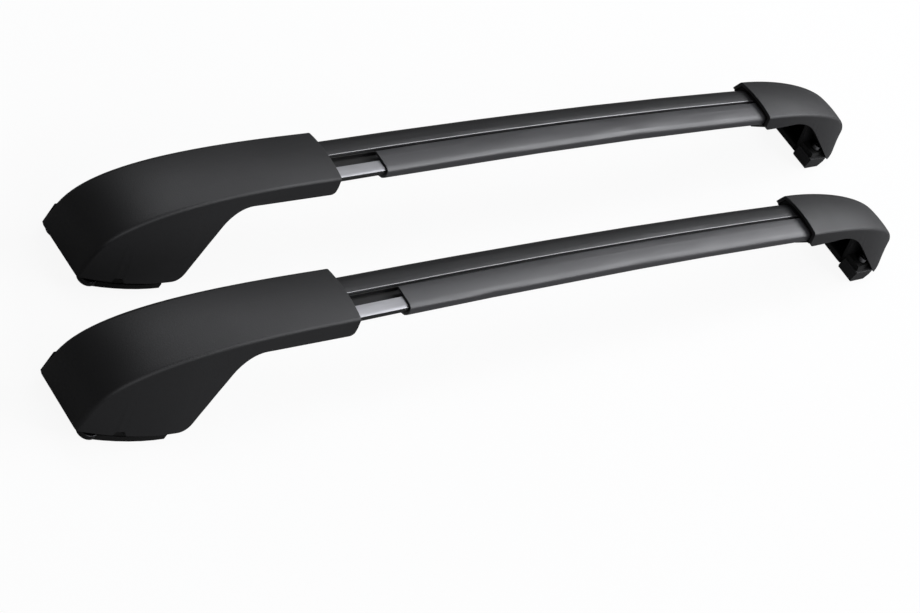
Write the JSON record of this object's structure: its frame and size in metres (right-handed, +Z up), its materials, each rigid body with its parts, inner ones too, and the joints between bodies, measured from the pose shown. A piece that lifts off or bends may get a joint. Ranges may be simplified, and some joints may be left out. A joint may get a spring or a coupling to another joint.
{
  "type": "pair of roof cross bars",
  "caption": "Pair of slim arched roof cross bars with a groove along the top, moulded feet, rubber pads, clamp jaws and locating studs.",
  "frame": {"origin": "centre of the pair's bounding box, on the surface that the pads stand on", "axes": "+X along the front bar from its left foot to its right foot, +Y from the front bar to the rear bar, +Z up"},
  "size_m": [1.2942, 0.2632, 0.094],
  "materials": {
    "satin_aluminium": "satin anodised extrusion, left bare",
    "black_fairing": "black powder coated extrusion, fine satin",
    "black_strip": "matt black extruded plastic",
    "black_cover": "black moulded plastic, fine spark-eroded grain",
    "black_casting": "black coated die casting",
    "dark_casting": "black coated die casting, worn a little lighter",
    "rubber": "moulded black rubber",
    "zinc_steel": "zinc plated steel screw",
    "black_steel": "black oiled steel stud, bright at the tip",
    "plate_steel": "bare steel nut plate"
  },
  "bodies": {
    "root": {"front_beam": "satin_aluminium", "front_nose_fairing": "black_fairing", "front_back_strip": "black_strip", "rear_beam": "satin_aluminium", "rear_nose_fairing": "black_fairing", "rear_back_strip": "black_strip", "front_left_cover": "black_cover", "front_left_bracket": "black_casting", "front_left_base_pad": "rubber", "front_left_clamp_jaw": "dark_casting", "front_left_clamp_bolt": "zinc_steel", "front_left_locating_studs": "black_steel", "front_left_beam_screws": "zinc_steel", "front_left_nut_plate": "plate_steel", "front_left_cover_screw": "zinc_steel", "front_right_cover": "black_cover", "front_right_bracket": "black_casting", "front_right_base_pad": "rubber", "front_right_clamp_jaw": "dark_casting", "front_right_clamp_bolt": "zinc_steel", "front_right_locating_studs": "black_steel", "front_right_beam_screws": "zinc_steel", "front_right_nut_plate": "plate_steel", "front_right_cover_screw": "zinc_steel", "rear_left_cover": "black_cover", "rear_left_bracket": "black_casting", "rear_left_base_pad": "rubber", "rear_left_clamp_jaw": "dark_casting", "rear_left_clamp_bolt": "zinc_steel", "rear_left_locating_studs": "black_steel", "rear_left_beam_screws": "zinc_steel", "rear_left_nut_plate": "plate_steel", "rear_left_cover_screw": "zinc_steel", "rear_right_cover": "black_cover", "rear_right_bracket": "black_casting", "rear_right_base_pad": "rubber", "rear_right_clamp_jaw": "dark_casting", "rear_right_clamp_bolt": "zinc_steel", "rear_right_locating_studs": "black_steel", "rear_right_beam_screws": "zinc_steel", "rear_right_nut_plate": "plate_steel", "rear_right_cover_screw": "zinc_steel"}
  },
  "joints": []
}
